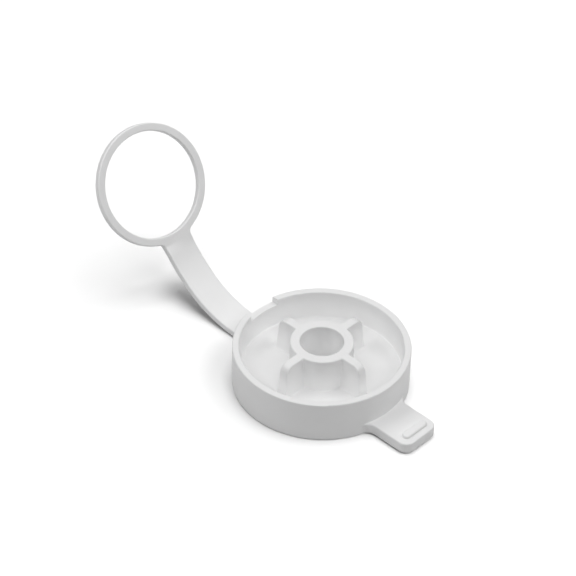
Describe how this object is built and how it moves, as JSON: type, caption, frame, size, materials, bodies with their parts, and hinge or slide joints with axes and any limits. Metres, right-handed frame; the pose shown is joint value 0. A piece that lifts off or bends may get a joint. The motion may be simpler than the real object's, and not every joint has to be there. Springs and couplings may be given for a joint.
{
  "type": "pour spout cap",
  "caption": "Round push-on cap for a liquor pour spout, with a pull tab and a flexible strap to a retaining ring.",
  "frame": {"origin": "centre of the cap's flat underside", "axes": "+Z along the cap's axis, out of its mouth; +X towards the pull tab; the strap leaves on -X"},
  "size_m": [0.1156, 0.05, 0.0488],
  "materials": {
    "moulded_plastic": "satin"
  },
  "bodies": {
    "cap": {"cap_floor": "moulded_plastic", "cap_wall": "moulded_plastic", "spout_socket": "moulded_plastic", "gusset_tab_side": "moulded_plastic", "gusset_left": "moulded_plastic", "gusset_strap_side": "moulded_plastic", "gusset_right": "moulded_plastic", "pull_tab": "moulded_plastic", "tab_grip_ridge": "moulded_plastic", "strap_root": "moulded_plastic"},
    "link_1": {"strap_link_1": "moulded_plastic"},
    "link_2": {"strap_link_2": "moulded_plastic"},
    "link_3": {"strap_link_3": "moulded_plastic"},
    "link_4": {"strap_link_4": "moulded_plastic"},
    "link_5": {"strap_link_5": "moulded_plastic"},
    "link_6": {"strap_link_6": "moulded_plastic"},
    "ring": {"ring_neck": "moulded_plastic", "retaining_ring": "moulded_plastic"}
  },
  "joints": [
    {"name": "strap_bend_1", "type": "hinge", "parent": "cap", "child": "link_1", "pos_m": [-0.028, 0, 0.00125], "axis": [0, 1, 0], "range_deg": [-20, 28], "stiffness_Nm_per_rad": 0.1},
    {"name": "strap_bend_2", "type": "hinge", "parent": "link_1", "child": "link_2", "pos_m": [-0.03382, 0, 0.00161], "axis": [0, 1, 0], "range_deg": [-20, 28], "stiffness_Nm_per_rad": 0.1},
    {"name": "strap_bend_3", "type": "hinge", "parent": "link_2", "child": "link_3", "pos_m": [-0.03952, 0, 0.00282], "axis": [0, 1, 0], "range_deg": [-20, 28], "stiffness_Nm_per_rad": 0.1},
    {"name": "strap_bend_4", "type": "hinge", "parent": "link_3", "child": "link_4", "pos_m": [-0.04491, 0, 0.00505], "axis": [0, 1, 0], "range_deg": [-20, 12], "stiffness_Nm_per_rad": 0.1},
    {"name": "strap_bend_5", "type": "hinge", "parent": "link_4", "child": "link_5", "pos_m": [-0.04974, 0, 0.00831], "axis": [0, 1, 0], "range_deg": [-20, 12], "stiffness_Nm_per_rad": 0.1},
    {"name": "strap_bend_6", "type": "hinge", "parent": "link_5", "child": "link_6", "pos_m": [-0.05411, 0, 0.01217], "axis": [0, 1, 0], "range_deg": [-20, 12], "stiffness_Nm_per_rad": 0.1},
    {"name": "ring_twist", "type": "hinge", "parent": "link_6", "child": "ring", "pos_m": [-0.05793, 0, 0.01657], "axis": [-0.506, 0, 0.8625], "range_deg": [-20, 20], "stiffness_Nm_per_rad": 0.02}
  ]
}
